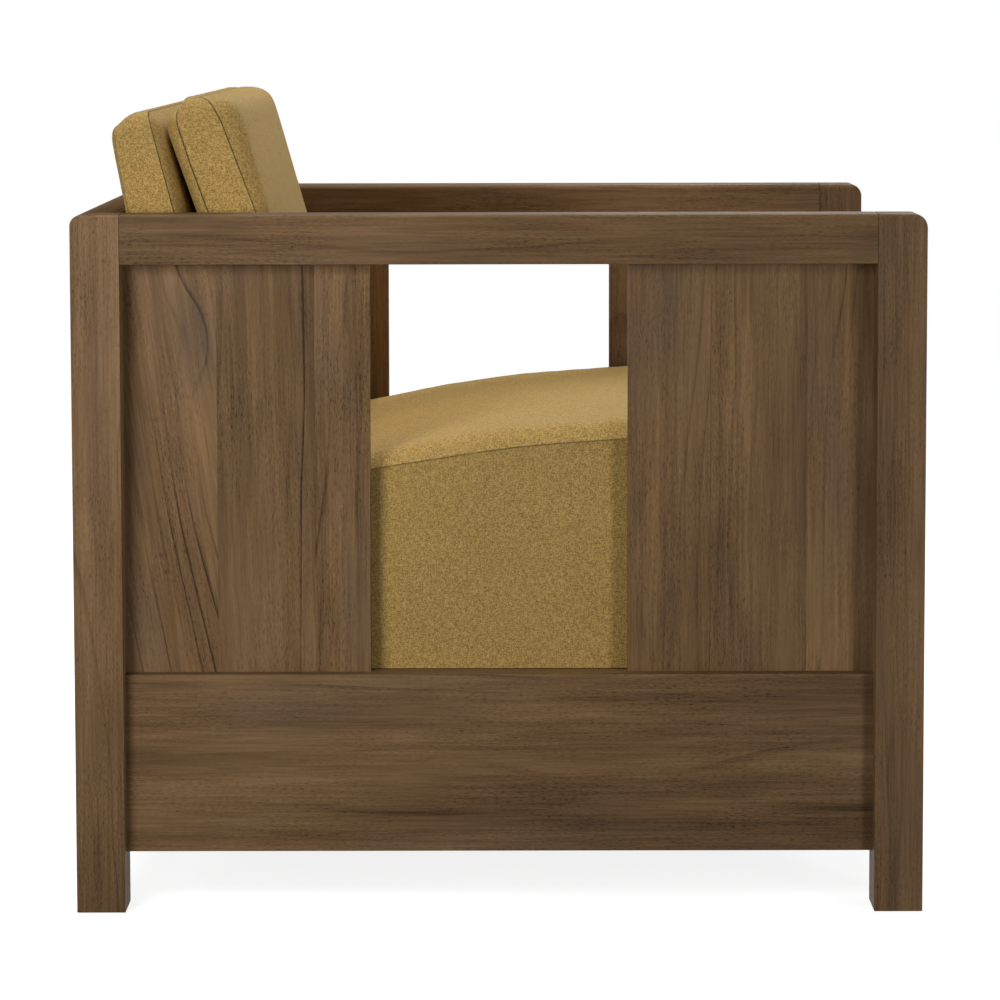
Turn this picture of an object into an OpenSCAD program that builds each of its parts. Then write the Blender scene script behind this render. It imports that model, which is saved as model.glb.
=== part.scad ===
// A deep wooden lounge armchair. Four square legs, wide arms and low broad rails make a box frame,
// with edge-glued plank panels in rebates at the sides and in grooves at the back. A slatted deck
// carries one thick wedge-shaped seat cushion and two loose back cushions, one before the other.
// X runs across the chair, with the sitter's right at -X. Y runs along its depth, with the front
// at -Y. Z is up, and the origin is on the floor under the middle of the frame.

/* [Overall] */
// Width across the outer faces of the legs
chair_w = 760; // [620:1:960]
// Depth from the front of the front legs to the back of the rear legs
chair_d = 840; // [760:1:1010]
// Height of the top of the arms above the floor
arm_top = 695; // [610:1:840]

/* [Legs and arms] */
// Width of a leg and of an arm, across the chair
leg_w = 54; // [44:1:66]
// Depth of a leg, along the chair
leg_d = 48; // [44:1:60]
// Height of an arm and of the back's top rail
arm_h = 49; // [42:1:62]
// Radius of the long top edges of the arms
arm_edge_r = 6; // [2:0.5:12]
// Radius of the top front corners
front_corner_r = 14; // [6:1:20]
// Radius of the top rear corners and of the top rail's rear edge
rear_corner_r = 11; // [6:1:18]
// Depth of the back's top rail
back_rail_d = 40; // [36:1:46]

/* [Lower rails] */
// Height of the lower rails' bottom edge above the floor
rail_z = 59; // [30:1:90]
// Height of a side rail and of the back's lower rail
rail_h = 178; // [160:1:220]
// How far a side rail stands in from the legs' outer face
side_rail_recess = 20; // [10:1:26]
// How far the front and back rails stand in from the legs' outer face
end_rail_recess = 16; // [10:1:20]

/* [Panels] */
// Width of each side panel that shows, from its leg to the open window
side_panel_w = 244; // [200:1:280]
// Thickness of a side panel
side_panel_t = 16; // [12:1:20]
// Width of the rear side panel's board next to the leg
rear_board_a = 92; // [60:1:100]
// Width of the rear side panel's middle board
rear_board_b = 97; // [60:1:98]
// Width of the front side panel's board next to the leg
front_board_a = 66; // [50:1:90]
// Width of the front side panel's middle board
front_board_b = 96; // [60:1:100]
// Width of each back panel that shows, from its leg to the open middle
back_panel_w = 214; // [160:1:240]
// Thickness of a back panel
back_panel_t = 14; // [10:1:16]
// How far a back panel stands in from the legs' rear face
back_panel_recess = 22; // [20:1:24]
// Width of a back panel's board next to the leg
back_board_a = 75; // [50:1:80]
// Width of a back panel's middle board
back_board_b = 80; // [60:1:84]

/* [Joinery] */
// Length of every tenon
tenon_len = 30; // [20:1:34]
// Clearance round a tenon in its mortise
tenon_gap = 0.15; // [0.1:0.05:0.4]
// Depth of the rebates and grooves that hold the panels
groove_d = 8; // [6:0.5:9]
// Clearance at a panel's faces in its groove
panel_gap = 0.2; // [0.1:0.05:0.4]
// Clearance at a panel's edge, at the bottom of its groove
panel_end_gap = 0.5; // [0.3:0.1:1]

/* [Seat deck] */
// How far the slats' tops lie below the tops of the side rails
deck_drop = 6; // [3:1:14]
// Number of slats
slat_count = 7; // [6:1:8]
// Gap between an end slat and the rail beside it
slat_edge = 32; // [20:1:34]
// Width of a slat
slat_w = 70; // [56:1:78]
// Thickness of a slat
slat_t = 18; // [15:1:24]
// Clearance between a slat's end and the side rail
slat_end_gap = 2; // [1:0.5:4]
// Width and height of a cleat
cleat_size = 25; // [22:1:30]
// Width of the middle bearer
bearer_w = 35; // [28:1:50]
// Height of the middle bearer
bearer_h = 45; // [36:1:60]
// Depth that the bearer is let into the front and back rails
housing_d = 10; // [6:1:14]
// Length of a corner block's glued faces
block_leg = 80; // [70:1:90]
// Thickness of a corner block at its ends
block_end = 18; // [14:1:24]

/* [Fasteners and glides] */
// Diameter of a corner stud
stud_d = 8; // [6:1:10]
// Depth of a stud in its leg, along the diagonal
stud_in_leg = 38; // [30:1:42]
// Width of a stud's nut across its flats
nut_af = 13; // [10:1:17]
// Length of a wood screw
screw_len = 35; // [30:1:40]
// Shank diameter of a wood screw
screw_d = 4.2; // [3.5:0.1:5]
// Head diameter of a wood screw
screw_head_d = 8.4; // [7:0.1:10]
// Diameter of a floor glide
glide_d = 25; // [18:1:32]
// How far a glide stands out below its leg
glide_proud = 1.5; // [1:0.5:3]
// How deep a glide is let into its leg
glide_inset = 3; // [2:0.5:5]

/* [Cushions] */
// Clearance between the cushions and the frame at each side
cushion_side_gap = 6; // [3:1:12]
// Distance from the seat cushion's front to the front of the legs
seat_front_inset = 16; // [8:1:40]
// Clearance behind the seat cushion
seat_back_gap = 10; // [5:1:20]
// Height of the seat cushion's top seam at its highest, above the deck
seat_seam_h = 244.3; // [160:0.1:280]
// Crown of the seat cushion above its top seam
seat_crown = 15; // [8:1:24]
// Fall of the seat cushion's top over its front half, per unit of depth
front_fall = 0.07; // [0.03:0.01:0.1]
// Further fall of the seat cushion's top over its rear half
rear_fall = 0.082; // [0.04:0.002:0.12]
// Height of a back cushion along its slope
back_cushion_h = 380; // [330:1:460]
// Thickness of the rear back cushion
rear_cushion_t = 64; // [54:1:80]
// Thickness of the front back cushion
front_cushion_t = 74; // [54:1:90]
// Lean of the rear back cushion from upright, in degrees
rear_lean = 14.6; // [10:0.1:18]
// Lean of the front back cushion from upright, in degrees
front_lean = 20.5; // [19:0.1:26]
// Thickness of the covers' cloth with its wadding
cover_t = 2; // [1:0.5:4]
// Gap left between cushions, and between a cushion and the frame
rest_gap = 0.5; // [0.3:0.1:1]
// Length of the seat cushion's zip
seat_zip_l = 560; // [300:1:580]
// Length of a back cushion's zip
back_zip_l = 520; // [300:1:540]
// Width of the zips
zip_w = 8; // [6:1:12]

/* [Hidden] */
$fn = 48;
past = 1;                                // how far cuts run past a face
half_w = chair_w / 2;
half_d = chair_d / 2;
inner_x = half_w - leg_w;                // legs' inner faces, across the chair
inner_y = half_d - leg_d;                // legs' inner faces, along the chair
arm_z = arm_top - arm_h;
rail_top = rail_z + rail_h;
deck_z = rail_top - deck_drop;
slat_z = deck_z - slat_t;
tongue = groove_d - panel_end_gap;
back_panel_y = half_d - back_panel_recess - back_panel_t;
slat_first = -inner_y + slat_edge + slat_w / 2;
slat_pitch = -2 * slat_first / (slat_count - 1);
cleat_x = inner_x - cleat_size / 2;      // centre line of a cleat and of its row of screws
cleat_z = slat_z - cleat_size;
cleat_l = 2 * (inner_y - block_leg - 2);
fastener_gap = 0.1;
screw_sink = 0.5;                        // how far a screw's head lies below the wood
screw_point = 4;                         // length of a screw's point
drive_r = 1.7;                           // the hexagon recess in a screw's head
drive_depth = 1.6;

// Bottom, top and thickness of the tenons, which pass one another inside the legs
arm_tenon = [arm_z + 11, arm_z + 25, 18];
top_rail_tenon = [arm_z + 29, arm_z + 43, 14];
low_side_tenon = [rail_z + 15, rail_z + 45, 12];
end_tenon = [rail_z + 69, rail_z + 109, 12];
high_side_tenon = [rail_z + 133, rail_z + 163, 12];
low_stud_z = (low_side_tenon[1] + end_tenon[0]) / 2;
high_stud_z = (end_tenon[1] + high_side_tenon[0]) / 2;
block_below = 18;                        // wood of a corner block below its lower stud
block_z = low_stud_z - block_below;
block_relief = 10;                       // cut off a block's corner, clear of the leg's edge
block_face = (block_leg + block_end) / sqrt(2);
washer_t = 1.6;
nut_t = 6.5;
stud_out = washer_t + nut_t + 4;         // stud showing past its block
glide_bevel = 1;
nail_d = 3;
nail_head_d = 8;
nail_head_z = 1.2;                       // underside of the nail's head above the floor
nail_head_t = 1;
nail_top = 24;                           // point of the nail above the floor

// Seat cushion
cushion_x = inner_x - cushion_side_gap;
seat_y0 = -half_d + seat_front_inset;
seat_y1 = inner_y - seat_back_gap;
seat_z = deck_z + rest_gap;
seat_apex = deck_z + seat_seam_h;
seat_front_r = 35;
seat_edge_r = 15;
front_slope = [74, 294];                 // where the top begins to fall, and its full fall
rear_slope = [344, 424];                 // the same for the further fall, both from the front
seat_zip_z = seat_z + 80;                // centre line of the seat cushion's zip
curve_steps = 18;

// Back cushions
end_r = 24;                              // radius of a back cushion's long edges
slope = atan(front_fall + rear_fall);

frame_wood = "#6b5642";
fabric = "#a8893f";
foam = "#e6dcc0";
zip_tape = "#4a4238";
steel = "#9a9a9c";
nylon = "#2c2a28";

// Rises at a rate that grows evenly from 0 at a to 1 at b, and stays at 1 beyond b
function ramp(y, a, b) =
    y <= a ? 0 : y < b ? pow(y - a, 2) / (2 * (b - a)) : y - (a + b) / 2;

// Height of the seat cushion's top seam at a depth y: level in front, with two falls behind
function seam_z(y) = seat_apex
    - front_fall * ramp(y, seat_y0 + front_slope[0], seat_y0 + front_slope[1])
    - rear_fall * ramp(y, seat_y0 + rear_slope[0], seat_y0 + rear_slope[1]);

function seat_top(y) = seam_z(y) + seat_crown;

function arc(x, y, r, a0, a1, n = 8) =
    [for (i = [0:n]) let (a = a0 + (a1 - a0) * i / n) [x + r * cos(a), y + r * sin(a)]];

// Height of a back cushion's lower rear edge centre, where it rests on the seat cushion
function rest_z(y) = seat_top(y) + end_r / cos(slope) + rest_gap;

// Depth of that centre for the rear back cushion, which leans on the top rail's inner edge
function rear_centre_y(y, n = 6) = n == 0 ? y : rear_centre_y(
    half_d - back_rail_d
        - (end_r + rest_gap + (arm_top - rest_z(y)) * sin(rear_lean)) / cos(rear_lean),
    n - 1);
rear_cy = rear_centre_y(inner_y - 60);
rear_cz = rest_z(rear_cy);

// Depth of that centre for the front back cushion, which leans on the rear one's face
function front_centre_y(y, n = 6) = n == 0 ? y : front_centre_y(
    rear_cy + ((rest_z(y) - rear_cz) * sin(rear_lean)
        - (back_cushion_h - 2 * end_r) * sin(front_lean - rear_lean)
        - rear_cushion_t - rest_gap) / cos(rear_lean),
    n - 1);
front_cy = front_centre_y(rear_cy - 100);
front_cz = rest_z(front_cy);

SIDES = ["right", "left"];
ENDS = ["rear", "front"];
BOARDS = [1, 2, 3];

// ---- helpers ----

// Everything is drawn at the sitter's right and at the rear, and mirrored to the other places
module on_side(side) {
    if (side == "right") children();
    else mirror([1, 0, 0]) children();
}

module at_end(end) {
    if (end == "rear") children();
    else mirror([0, 1, 0]) children();
}

module all_corners() {
    for (side = SIDES, end = ENDS) on_side(side) at_end(end) children();
}

// A flat shape in Y and Z, drawn out along X
module along_x(x0, length) {
    translate([x0, 0, 0]) rotate([90, 0, 90]) linear_extrude(length) children();
}

// A flat shape in X and Z, drawn out along Y
module along_y(y0, length) {
    translate([0, y0 + length, 0]) rotate([90, 0, 0]) linear_extrude(length) children();
}

// A rectangle from its lower left corner, with its two top corners rounded
module round_topped(w, h, r_left, r_right) {
    difference() {
        square([w, h]);
        difference() {
            translate([-past, h - r_left]) square([r_left + past, r_left + past]);
            translate([r_left, h - r_left]) circle(r = r_left);
        }
        difference() {
            translate([w - r_right, h - r_right]) square([r_right + past, r_right + past]);
            translate([w - r_right, h - r_right]) circle(r = r_right);
        }
    }
}

// A tenon that runs back into the rear leg; given a gap, the mortise for it
module tenon_y(x_mid, size, gap = 0) {
    translate([x_mid - size[2] / 2 - gap, inner_y - past, size[0] - gap])
        cube([size[2] + 2 * gap, tenon_len + past + gap, size[1] - size[0] + 2 * gap]);
}

// A tenon that runs out into the right leg; given a gap, the mortise for it
module tenon_x(y_mid, size, gap = 0) {
    translate([-inner_x - tenon_len - gap, y_mid - size[2] / 2 - gap, size[0] - gap])
        cube([tenon_len + past + gap, size[2] + 2 * gap, size[1] - size[0] + 2 * gap]);
}

module side_tenons(gap = 0) {
    for (size = [low_side_tenon, high_side_tenon])
        tenon_y(-half_w + (side_rail_recess + leg_w) / 2, size, gap);
}

module arm_tenons(gap = 0) {
    tenon_y(-half_w + leg_w / 2, arm_tenon, gap);
}

module end_tenons(gap = 0) {
    tenon_x(half_d - (end_rail_recess + leg_d) / 2, end_tenon, gap);
}

module top_rail_tenons(gap = 0) {
    tenon_x(half_d - back_rail_d / 2, top_rail_tenon, gap);
}

// A rod on the diagonal of the rear right corner, from a to b along it, with b out in the leg
module corner_rod(z, r, a, b, sides = 48) {
    translate([-inner_x, inner_y, z]) rotate([0, 0, 135]) rotate([0, 90, 0])
        translate([0, 0, a]) cylinder(r = r, h = b - a, $fn = sides);
}

module stud_holes() {
    for (z = [low_stud_z, high_stud_z])
        corner_rod(z, stud_d / 2 + fastener_gap, -block_face - past, stud_in_leg + fastener_gap);
}

// The space that a side panel's tongues take out of the leg, rail and arm: a rebate open inwards
module side_rebate() {
    translate([-inner_x - side_panel_t - panel_gap, inner_y - side_panel_w, rail_top - groove_d])
        cube([side_panel_t + panel_gap + past, side_panel_w + groove_d, arm_z - rail_top + 2 * groove_d]);
}

// The same for a back panel: a groove with a wall on both sides
module back_groove() {
    translate([-inner_x - groove_d, back_panel_y - panel_gap, rail_top - groove_d])
        cube([back_panel_w + groove_d, back_panel_t + 2 * panel_gap, arm_z - rail_top + 2 * groove_d]);
}

// ---- frame ----

module leg_blank(corner_r) {
    intersection() {
        translate([-half_w, inner_y, glide_proud]) cube([leg_w, leg_d, arm_top]);
        along_x(-half_w, leg_w) translate([inner_y - 2 * past, 0])
            round_topped(leg_d + 2 * past, arm_top, past, corner_r);
        along_y(inner_y, leg_d) translate([-half_w, 0])
            round_topped(leg_w, arm_top, arm_edge_r, arm_edge_r);
    }
}

module leg(end) {
    color(frame_wood) at_end(end) difference() {
        leg_blank(end == "rear" ? rear_corner_r : front_corner_r);
        arm_tenons(tenon_gap);
        side_tenons(tenon_gap);
        end_tenons(tenon_gap);
        side_rebate();
        if (end == "rear") {
            top_rail_tenons(tenon_gap);
            back_groove();
        }
        stud_holes();
        translate([-half_w + leg_w / 2, half_d - leg_d / 2, 0]) {
            cylinder(r = glide_d / 2 + fastener_gap, h = glide_proud + glide_inset);
            cylinder(r = nail_d / 2 + fastener_gap, h = nail_top + fastener_gap);
        }
    }
}

module arm() {
    color(frame_wood) difference() {
        union() {
            along_y(-inner_y, 2 * inner_y) translate([-half_w, arm_z])
                round_topped(leg_w, arm_h, arm_edge_r, arm_edge_r);
            for (end = ENDS) at_end(end) arm_tenons();
        }
        for (end = ENDS) at_end(end) side_rebate();
    }
}

module side_rail() {
    color(frame_wood) difference() {
        union() {
            translate([-half_w + side_rail_recess, -inner_y, rail_z])
                cube([leg_w - side_rail_recess, 2 * inner_y, rail_h]);
            for (end = ENDS) at_end(end) side_tenons();
        }
        for (end = ENDS) at_end(end) {
            side_rebate();
            stud_holes();
        }
        cleat_screw_set(fastener_gap);
    }
}

// A lower rail across the chair, drawn at the rear
module end_rail(height) {
    translate([-inner_x, inner_y, rail_z]) cube([2 * inner_x, leg_d - end_rail_recess, height]);
    for (side = SIDES) on_side(side) end_tenons();
}

module bearer_housing() {
    translate([-bearer_w / 2 - panel_gap, inner_y - past, slat_z - bearer_h - panel_gap])
        cube([bearer_w + 2 * panel_gap, housing_d + past, bearer_h + slat_t + deck_drop + 2 * past]);
}

module front_rail() {
    color(frame_wood) at_end("front") difference() {
        end_rail(rail_h - deck_drop);
        for (side = SIDES) on_side(side) stud_holes();
        bearer_housing();
    }
}

module back_lower_rail() {
    color(frame_wood) difference() {
        end_rail(rail_h);
        for (side = SIDES) on_side(side) {
            stud_holes();
            back_groove();
        }
        bearer_housing();
    }
}

module back_top_rail() {
    color(frame_wood) difference() {
        union() {
            along_x(-inner_x, 2 * inner_x) translate([half_d - back_rail_d, arm_z])
                round_topped(back_rail_d, arm_h, arm_edge_r, rear_corner_r);
            for (side = SIDES) on_side(side) top_rail_tenons();
        }
        for (side = SIDES) on_side(side) back_groove();
    }
}

// ---- panels ----

// Where board k of a panel starts and ends, measured from the leg's inner face
function board_edges(a, b, total) = [-tongue, a, a + b, total];

// A board of a side panel, glued edge to edge with its neighbours
module side_board(end, k) {
    edges = end == "rear"
        ? board_edges(rear_board_a, rear_board_b, side_panel_w)
        : board_edges(front_board_a, front_board_b, side_panel_w);
    color(frame_wood) at_end(end)
        translate([-inner_x - side_panel_t, inner_y - edges[k], rail_top - tongue])
            cube([side_panel_t, edges[k] - edges[k - 1], arm_z - rail_top + 2 * tongue]);
}

module back_board(k) {
    edges = board_edges(back_board_a, back_board_b, back_panel_w);
    color(frame_wood)
        translate([-inner_x + edges[k - 1], back_panel_y, rail_top - tongue])
            cube([edges[k] - edges[k - 1], back_panel_t, arm_z - rail_top + 2 * tongue]);
}

// ---- seat deck ----

// A countersunk wood screw that points down from the origin, with its head's top at the origin
module wood_screw(gap = 0) {
    head_h = (screw_head_d - screw_d) / 2;
    difference() {
        union() {
            translate([0, 0, -head_h])
                cylinder(r1 = screw_d / 2 + gap, r2 = screw_head_d / 2 + gap, h = head_h);
            translate([0, 0, -screw_len + screw_point])
                cylinder(r = screw_d / 2 + gap, h = screw_len - screw_point - head_h);
            translate([0, 0, -screw_len])
                cylinder(r1 = screw_d / 10 + gap, r2 = screw_d / 2 + gap, h = screw_point);
            if (gap > 0) cylinder(r = screw_head_d / 2 + gap, h = screw_sink + past);
        }
        if (gap == 0)
            translate([0, 0, -drive_depth]) cylinder(r = drive_r, h = drive_depth + past, $fn = 6);
    }
}

module slat_screw_row(y, gap = 0) {
    for (x = [-cleat_x, 0, cleat_x]) translate([x, y, deck_z - screw_sink]) wood_screw(gap);
}

// Screws that hold the right cleat, between the slats' own screws
module cleat_screw_set(gap = 0) {
    for (k = [-2.5, -0.5, 0.5, 2.5])
        translate([-inner_x + cleat_size - screw_sink, k * slat_pitch, cleat_z + cleat_size / 2])
            rotate([0, 90, 0]) wood_screw(gap);
}

function slat_y(i) = slat_first + (i - 1) * slat_pitch;

module seat_cleat() {
    color(frame_wood) difference() {
        translate([-inner_x, -cleat_l / 2, cleat_z]) cube([cleat_size, cleat_l, cleat_size]);
        cleat_screw_set(fastener_gap);
        for (i = [1:slat_count]) slat_screw_row(slat_y(i), fastener_gap);
    }
}

module seat_bearer() {
    color(frame_wood) difference() {
        translate([-bearer_w / 2, -inner_y - housing_d + panel_end_gap, slat_z - bearer_h])
            cube([bearer_w, 2 * (inner_y + housing_d - panel_end_gap), bearer_h]);
        for (i = [1:slat_count]) slat_screw_row(slat_y(i), fastener_gap);
    }
}

module seat_slat(i) {
    color(frame_wood) difference() {
        translate([-inner_x + slat_end_gap, slat_y(i) - slat_w / 2, slat_z])
            cube([2 * (inner_x - slat_end_gap), slat_w, slat_t]);
        slat_screw_row(slat_y(i), fastener_gap);
    }
}

module corner_block(end) {
    color(frame_wood) difference() {
        at_end(end) difference() {
            translate([-inner_x, inner_y, block_z]) mirror([0, 1, 0]) linear_extrude(slat_z - block_z)
                polygon([[block_relief, 0], [block_leg, 0], [block_leg, block_end],
                         [block_end, block_leg], [0, block_leg], [0, block_relief]]);
            stud_holes();
        }
        for (i = [1, slat_count]) slat_screw_row(slat_y(i), fastener_gap);
    }
}

// ---- fasteners and glides ----

module corner_studs() {
    color(steel) all_corners() for (z = [low_stud_z, high_stud_z])
        corner_rod(z, stud_d / 2, -block_face - stud_out, stud_in_leg);
}

module corner_washers() {
    color(steel) all_corners() for (z = [low_stud_z, high_stud_z]) difference() {
        corner_rod(z, stud_d + 1, -block_face - washer_t, -block_face);
        corner_rod(z, stud_d / 2 + fastener_gap, -block_face - washer_t - past, -block_face + past);
    }
}

module corner_nuts() {
    face = -block_face - washer_t;
    color(steel) all_corners() for (z = [low_stud_z, high_stud_z]) difference() {
        corner_rod(z, nut_af / sqrt(3), face - nut_t, face, 6);
        corner_rod(z, stud_d / 2 + fastener_gap, face - nut_t - past, face + past);
    }
}

module slat_screws() {
    color(steel) for (i = [1:slat_count]) slat_screw_row(slat_y(i));
}

module cleat_screws() {
    color(steel) for (side = SIDES) on_side(side) cleat_screw_set();
}

module at_feet() {
    all_corners() translate([-half_w + leg_w / 2, half_d - leg_d / 2, 0]) children();
}

module floor_glides() {
    color(nylon) at_feet() difference() {
        union() {
            cylinder(r1 = glide_d / 2 - glide_bevel, r2 = glide_d / 2, h = glide_bevel);
            translate([0, 0, glide_bevel])
                cylinder(r = glide_d / 2, h = glide_proud + glide_inset - glide_bevel);
        }
        translate([0, 0, -past])
            cylinder(r = nail_head_d / 2 + fastener_gap, h = past + nail_head_z + nail_head_t);
        cylinder(r = nail_d / 2 + fastener_gap, h = nail_top);
    }
}

module glide_nails() {
    color(steel) at_feet() {
        translate([0, 0, nail_head_z]) cylinder(r = nail_head_d / 2, h = nail_head_t);
        translate([0, 0, nail_head_z]) cylinder(r = nail_d / 2, h = nail_top - nail_head_z);
    }
}

// ---- cushions ----

// The seat cushion's outline from the side, drawn in by inset all round
module seat_outline(inset) {
    y0 = seat_y0 + inset;
    y1 = seat_y1 - inset;
    z0 = seat_z + inset;
    r = seat_edge_r - inset;
    rf = seat_front_r - inset;
    top_from = y1 - r;
    top_to = y0 + rf;
    polygon(concat(
        arc(y0 + r, z0 + r, r, 180, 270),
        arc(y1 - r, z0 + r, r, 270, 360),
        arc(y1 - r, seat_top(top_from) - inset - r, r, 0, 90),
        [for (i = [1:curve_steps - 1]) let (y = top_from + (top_to - top_from) * i / curve_steps)
            [y, seat_top(y) - inset]],
        arc(y0 + rf, seat_top(top_to) - inset - rf, rf, 90, 180)
    ));
}

module seat_body(inset) {
    along_x(-cushion_x + inset, 2 * (cushion_x - inset)) seat_outline(inset);
}

module seat_zip_slot(gap = 0) {
    translate([-seat_zip_l / 2 - gap, seat_y1 - cover_t - gap, seat_zip_z - zip_w / 2 - gap])
        cube([seat_zip_l + 2 * gap, cover_t + 2 * gap, zip_w + 2 * gap]);
}

module seat_cushion_cover() {
    color(fabric) difference() {
        seat_body(0);
        seat_body(cover_t);
        seat_zip_slot(panel_gap);
    }
}

module seat_cushion_foam() {
    color(foam) seat_body(cover_t + panel_gap);
}

module seat_cushion_zip() {
    color(zip_tape) seat_zip_slot();
}

// A back cushion's outline, upright, with the centre of its lower rear edge at the origin
module back_outline(t, inset) {
    r = end_r - inset;
    hull_y = back_cushion_h - 2 * end_r;
    hull_x = t - 2 * end_r;
    polygon(concat(
        arc(0, 0, r, 270, 360),
        arc(0, hull_y, r, 0, 90),
        arc(-hull_x, hull_y, r, 90, 180),
        arc(-hull_x, 0, r, 180, 270)
    ));
}

module back_body(t, inset) {
    along_x(-cushion_x + inset, 2 * (cushion_x - inset)) back_outline(t, inset);
}

module back_zip_slot(t, gap = 0) {
    translate([-back_zip_l / 2 - gap, end_r - t / 2 - zip_w / 2 - gap, -end_r - gap])
        cube([back_zip_l + 2 * gap, zip_w + 2 * gap, cover_t + 2 * gap]);
}

module back_cover(t) {
    difference() {
        back_body(t, 0);
        back_body(t, cover_t);
        back_zip_slot(t, panel_gap);
    }
}

module place_rear() {
    translate([0, rear_cy, rear_cz]) rotate([-rear_lean, 0, 0]) children();
}

module place_front() {
    translate([0, front_cy, front_cz]) rotate([-front_lean, 0, 0]) children();
}

module rear_cushion_cover() {
    color(fabric) place_rear() back_cover(rear_cushion_t);
}

module rear_cushion_foam() {
    color(foam) place_rear() back_body(rear_cushion_t, cover_t + panel_gap);
}

module rear_cushion_zip() {
    color(zip_tape) place_rear() back_zip_slot(rear_cushion_t);
}

module front_cushion_cover() {
    color(fabric) place_front() back_cover(front_cushion_t);
}

module front_cushion_foam() {
    color(foam) place_front() back_body(front_cushion_t, cover_t + panel_gap);
}

module front_cushion_zip() {
    color(zip_tape) place_front() back_zip_slot(front_cushion_t);
}

// ---- the chair ----

for (s = SIDES, e = ENDS) on_side(s) leg(e);
for (s = SIDES) on_side(s) arm();
for (s = SIDES) on_side(s) side_rail();
front_rail();
back_lower_rail();
back_top_rail();
for (s = SIDES, p = ENDS, k = BOARDS)
    on_side(s) side_board(p, k);
for (s = SIDES, k = BOARDS)
    on_side(s) back_board(k);
for (s = SIDES) on_side(s) seat_cleat();
seat_bearer();
for (i = [1:slat_count]) seat_slat(i);
for (s = SIDES, e = ENDS)
    on_side(s) corner_block(e);
corner_studs();
corner_washers();
corner_nuts();
slat_screws();
cleat_screws();
floor_glides();
glide_nails();
seat_cushion_cover();
seat_cushion_foam();
seat_cushion_zip();
rear_cushion_cover();
rear_cushion_foam();
rear_cushion_zip();
front_cushion_cover();
front_cushion_foam();
front_cushion_zip();
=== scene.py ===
"""The looks of a deep wooden lounge armchair: weathered walnut, linen cushions, and a white studio."""

import math

import bpy
import numpy as np
from mathutils import Matrix, Vector
from mathutils.bvhtree import BVHTree


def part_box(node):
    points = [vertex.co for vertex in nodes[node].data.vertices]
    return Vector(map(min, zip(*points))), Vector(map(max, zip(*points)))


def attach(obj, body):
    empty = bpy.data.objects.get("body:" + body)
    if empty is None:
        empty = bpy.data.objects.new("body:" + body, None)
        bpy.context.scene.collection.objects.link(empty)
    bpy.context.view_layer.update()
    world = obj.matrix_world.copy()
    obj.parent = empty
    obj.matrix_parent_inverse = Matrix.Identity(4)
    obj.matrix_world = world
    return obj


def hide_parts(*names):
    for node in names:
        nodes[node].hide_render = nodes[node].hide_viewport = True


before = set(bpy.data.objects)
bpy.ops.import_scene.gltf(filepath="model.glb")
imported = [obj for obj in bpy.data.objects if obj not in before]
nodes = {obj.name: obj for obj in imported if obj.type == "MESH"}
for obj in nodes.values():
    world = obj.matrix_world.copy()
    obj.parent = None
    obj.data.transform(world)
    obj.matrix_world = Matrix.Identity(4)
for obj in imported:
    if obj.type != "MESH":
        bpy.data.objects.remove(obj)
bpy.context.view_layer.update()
MM = 0.001


# ---- shader helpers ----


class Graph:
    """Adds shader nodes to a tree and links them, so that a look reads like a formula."""

    def __init__(self, tree):
        self.tree = tree

    def put(self, socket, value):
        if isinstance(value, bpy.types.NodeSocket):
            self.tree.links.new(value, socket)
        elif value is not None:
            socket.default_value = value

    def add(self, kind, inputs, **settings):
        node = self.tree.nodes.new("ShaderNode" + kind)
        for name, value in settings.items():
            setattr(node, name, value)
        for socket, value in inputs.items():
            self.put(node.inputs[socket], value)
        return node

    def math(self, operation, a, b=None, c=None):
        return self.add("Math", {0: a, 1: b, 2: c}, operation=operation).outputs[0]

    def vector(self, operation, a, b=None):
        return self.add("VectorMath", {0: a, 1: b}, operation=operation).outputs[0]

    def scaled(self, a, factor):
        return self.add("VectorMath", {0: a, "Scale": factor}, operation="SCALE").outputs[0]

    def length(self, a):
        return self.add("VectorMath", {0: a}, operation="LENGTH").outputs["Value"]

    def parts(self, a):
        return self.add("SeparateXYZ", {0: a}).outputs

    def point(self, x, y, z=0.0):
        return self.add("CombineXYZ", {0: x, 1: y, 2: z}).outputs[0]

    def noise(self, at, scale=1.0, detail=2.0, roughness=0.5):
        inputs = {"Vector": at, "Scale": scale, "Detail": detail, "Roughness": roughness}
        return self.add("TexNoise", inputs)

    def fit(self, value, low, high, out_low=0.0, out_high=1.0, smooth=True):
        kind = "SMOOTHSTEP" if smooth else "LINEAR"
        inputs = {0: value, 1: low, 2: high, 3: out_low, 4: out_high}
        return self.add("MapRange", inputs, interpolation_type=kind).outputs[0]

    def mix(self, factor, a, b, blend="MIX"):
        inputs = {0: factor, 6: a, 7: b}
        return self.add("Mix", inputs, data_type="RGBA", blend_type=blend).outputs[2]

    def ramp(self, value, stops):
        node = self.add("ValToRGB", {0: value})
        elements = node.color_ramp.elements
        while len(elements) < len(stops):
            elements.new(1.0)
        for element, (place, colour) in zip(elements, stops):
            element.position = place
            element.color = (*colour, 1)
        return node.outputs[0]

    def bump(self, height, distance, strength=1.0):
        inputs = {"Height": height, "Distance": distance, "Strength": strength}
        return self.add("Bump", inputs).outputs[0]


def new_material(name):
    """A material with one Principled shader: the material, its graph and the shader."""
    material = bpy.data.materials.new(name)
    material.use_nodes = True
    graph = Graph(material.node_tree)
    return material, graph, material.node_tree.nodes["Principled BSDF"]


def grey(value):
    return (value, value, value, 1)


# ---- wood ----

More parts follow.
